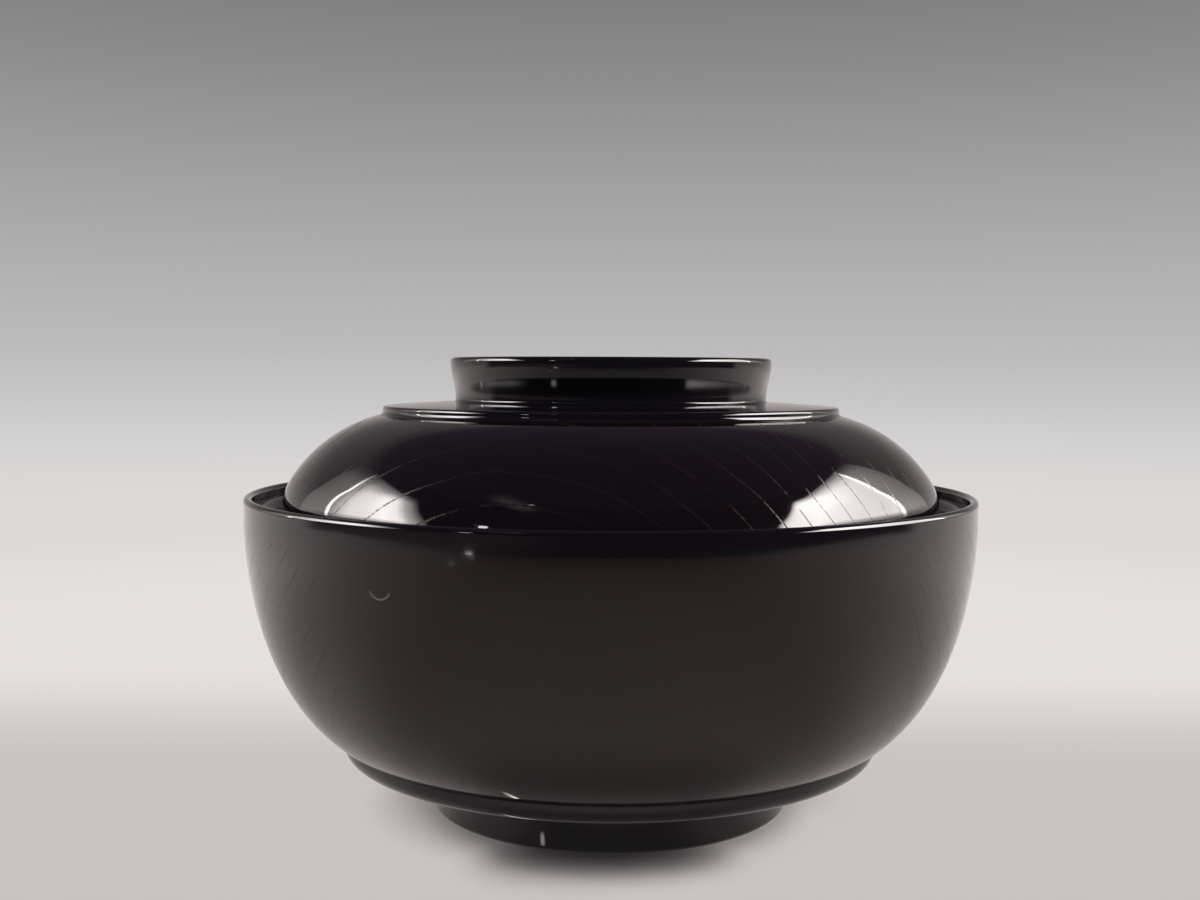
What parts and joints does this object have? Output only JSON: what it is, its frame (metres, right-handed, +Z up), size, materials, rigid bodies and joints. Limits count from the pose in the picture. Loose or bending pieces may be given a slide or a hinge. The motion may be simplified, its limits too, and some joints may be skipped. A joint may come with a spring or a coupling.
{
  "type": "lidded soup bowl",
  "caption": "Round turned-wood soup bowl in dark lacquer on a ring foot, with a domed lid that seats inside its lip and carries a ring to lift it by.",
  "frame": {"origin": "centre of the foot's standing face, on the surface that the bowl stands on", "axes": "+Z up along the turning axis of bowl and lid; the object is round, so X and Y are free"},
  "size_m": [0.1352, 0.1352, 0.0837],
  "materials": {
    "core_wood": "turned, open pored",
    "cloth": "plain woven, stiffened",
    "black_lacquer": "smooth gloss",
    "grain_lacquer": "gloss with open grain"
  },
  "bodies": {
    "bowl": {"bowl_wood_core": "core_wood", "bowl_rim_cloth": "cloth", "bowl_foot_cloth": "cloth", "bowl_inside_lacquer": "black_lacquer", "bowl_wall_lacquer": "grain_lacquer", "bowl_foot_lacquer": "black_lacquer"},
    "lid": {"lid_wood_core": "core_wood", "lid_edge_cloth": "cloth", "lid_ring_cloth": "cloth", "lid_inside_lacquer": "black_lacquer", "lid_dome_lacquer": "grain_lacquer", "lid_ring_lacquer": "black_lacquer"}
  },
  "joints": [
    {"name": "lid_lift", "type": "slide", "parent": "bowl", "child": "lid", "axis": [0, 0, 1], "range_m": [0, 0.06]}
  ]
}
